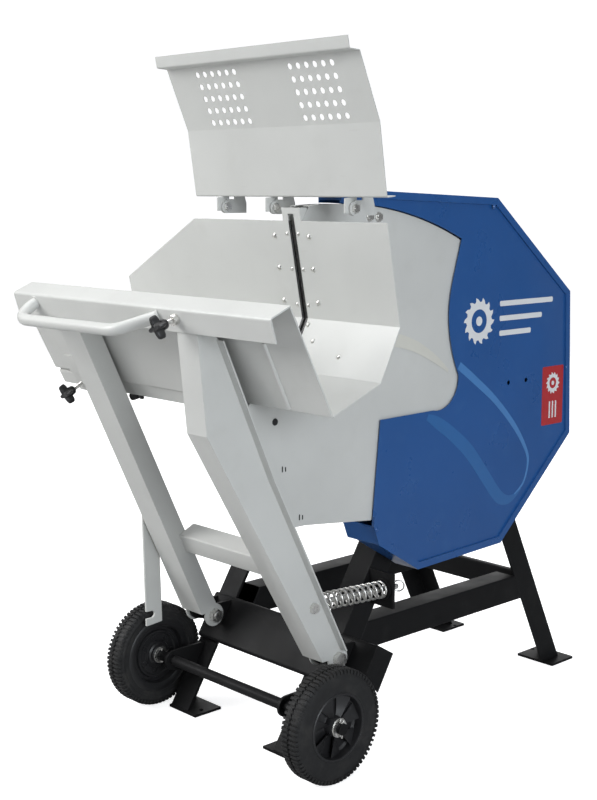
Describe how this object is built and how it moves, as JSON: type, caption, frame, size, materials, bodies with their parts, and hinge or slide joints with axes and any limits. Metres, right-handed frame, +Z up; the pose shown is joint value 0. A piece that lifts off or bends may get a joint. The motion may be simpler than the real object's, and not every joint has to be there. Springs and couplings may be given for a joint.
{
  "type": "rocking cradle log saw",
  "caption": "Free-standing circular log saw: a rocking V-shaped log cradle swings into a guarded blade on a two-wheeled tube stand.",
  "frame": {"origin": "on the floor, at the centre of the four anchor holes in the foot plates", "axes": "+X along the log bed towards the blade casing, +Y from the operator towards the blade, +Z up"},
  "size_m": [0.747, 1.106, 1.2123],
  "materials": {
    "grey_paint": "semi-gloss powder coat",
    "blue_paint": "gloss powder coat",
    "black_paint": "semi-gloss powder coat",
    "zinc": "bright zinc plating",
    "steel": "ground steel",
    "motor_paint": "satin enamel",
    "black_plastic": "fine grain",
    "tyre": "moulded rubber",
    "green_button": "gloss",
    "red_button": "gloss"
  },
  "bodies": {
    "stand": {"stand_legs": "black_paint", "stand_rails": "black_paint", "foot_plates": "black_paint", "pivot_channel": "black_paint", "pivot_ears": "black_paint", "pivot_bolts": "zinc", "axle_brackets": "black_paint", "spring_bracket": "black_paint", "axle": "black_paint", "axle_retainers": "zinc", "motor_plate": "black_paint", "motor_body": "motor_paint", "motor_fan_cover": "motor_paint", "motor_end_bell": "motor_paint", "motor_terminal_box": "motor_paint", "motor_bolts": "zinc", "casing_cover": "blue_paint", "casing_back": "blue_paint", "casing_screws": "blue_paint", "flap_carrier": "grey_paint", "flap_hinge_bolts": "zinc", "switch_housing": "black_plastic", "switch_bracket": "black_paint", "mains_inlet": "black_plastic"},
    "left_wheel": {"tyre_left": "tyre", "hub_left": "black_plastic"},
    "right_wheel": {"tyre_right": "tyre", "hub_right": "black_plastic"},
    "arbor": {"arbor_shaft": "steel", "saw_blade": "steel", "blade_flange": "steel", "blade_nut": "zinc"},
    "flap": {"view_flap": "grey_paint", "view_flap_ears": "grey_paint"},
    "cradle": {"bed_back_panel": "grey_paint", "bed_front_wall": "grey_paint", "bed_beam": "grey_paint", "left_arm": "grey_paint", "right_arm": "grey_paint", "arm_cross_tube": "grey_paint", "guard_cheek_right": "grey_paint", "guard_cheek_left": "grey_paint", "slot_liner": "black_plastic", "bed_screws": "zinc", "push_handle": "grey_paint", "knob_bosses": "zinc", "clamp_strap": "grey_paint", "cradle_bolts": "zinc"},
    "upper_knob": {"upper_star_knob": "black_plastic"},
    "lower_knob": {"lower_star_knob": "black_plastic"},
    "floor_knob": {"floor_star_knob": "black_plastic"},
    "extension": {"extension_panel": "grey_paint", "extension_rail": "grey_paint"},
    "length_stop": {"length_stop_bar": "grey_paint"},
    "hook": {"transport_hook": "grey_paint"},
    "spring_rod": {"spring_rod": "zinc", "spring_washer": "zinc", "return_spring": "zinc"},
    "start_button": {"start_button": "green_button"},
    "stop_button": {"stop_button": "red_button"}
  },
  "joints": [
    {"name": "cradle_rock", "type": "hinge", "parent": "stand", "child": "cradle", "pos_m": [0, -0.34, 0.188], "axis": [-1, 0, 0], "range_deg": [0, 28], "deforming": ["return_spring"]},
    {"name": "blade_spin", "type": "hinge", "parent": "stand", "child": "arbor", "pos_m": [0.196, -0.024, 0.645], "axis": [1, 0, 0], "continuous": true},
    {"name": "left_wheel_spin", "type": "hinge", "parent": "stand", "child": "left_wheel", "pos_m": [-0.2175, -0.402, 0.1], "axis": [1, 0, 0], "continuous": true},
    {"name": "right_wheel_spin", "type": "hinge", "parent": "stand", "child": "right_wheel", "pos_m": [0.2755, -0.402, 0.1], "axis": [1, 0, 0], "continuous": true},
    {"name": "flap_hinge", "type": "hinge", "parent": "stand", "child": "flap", "pos_m": [0.175, -0.406, 0.962], "axis": [1, 0, 0], "range_deg": [-8, 60]},
    {"name": "extension_slide", "type": "slide", "parent": "cradle", "child": "extension", "axis": [-1, 0, 0], "range_m": [0, 0.25]},
    {"name": "length_stop_slide", "type": "slide", "parent": "cradle", "child": "length_stop", "axis": [1, 0, 0], "range_m": [0, 0.45]},
    {"name": "upper_knob_turn", "type": "hinge", "parent": "cradle", "child": "upper_knob", "pos_m": [0.189, -0.65224, 0.796], "axis": [0, -0.9585, -0.285], "continuous": true},
    {"name": "lower_knob_turn", "type": "hinge", "parent": "cradle", "child": "lower_knob", "pos_m": [-0.258, -0.52727, 0.63751], "axis": [0, -0.8918, -0.4524], "continuous": true},
    {"name": "floor_knob_turn", "type": "hinge", "parent": "cradle", "child": "floor_knob", "pos_m": [-0.15, -0.49328, 0.67037], "axis": [0, 0.3666, -0.9304], "continuous": true},
    {"name": "hook_swing", "type": "hinge", "parent": "cradle", "child": "hook", "pos_m": [-0.1775, -0.436, 0.392], "axis": [1, 0, 0], "range_deg": [-20, 20]},
    {"name": "spring_rod_swing", "type": "hinge", "parent": "cradle", "child": "spring_rod", "pos_m": [0.208, -0.399, 0.292], "axis": [1, 0, 0], "range_deg": [0, 21]},
    {"name": "start_press", "type": "slide", "parent": "stand", "child": "start_button", "axis": [1, 0, 0], "range_m": [0, 0.003]},
    {"name": "stop_press", "type": "slide", "parent": "stand", "child": "stop_button", "axis": [1, 0, 0], "range_m": [0, 0.003]}
  ],
  "couplings": [
    {"joint": "spring_rod_swing", "follows": "cradle_rock", "ratio": 0.7336}
  ]
}
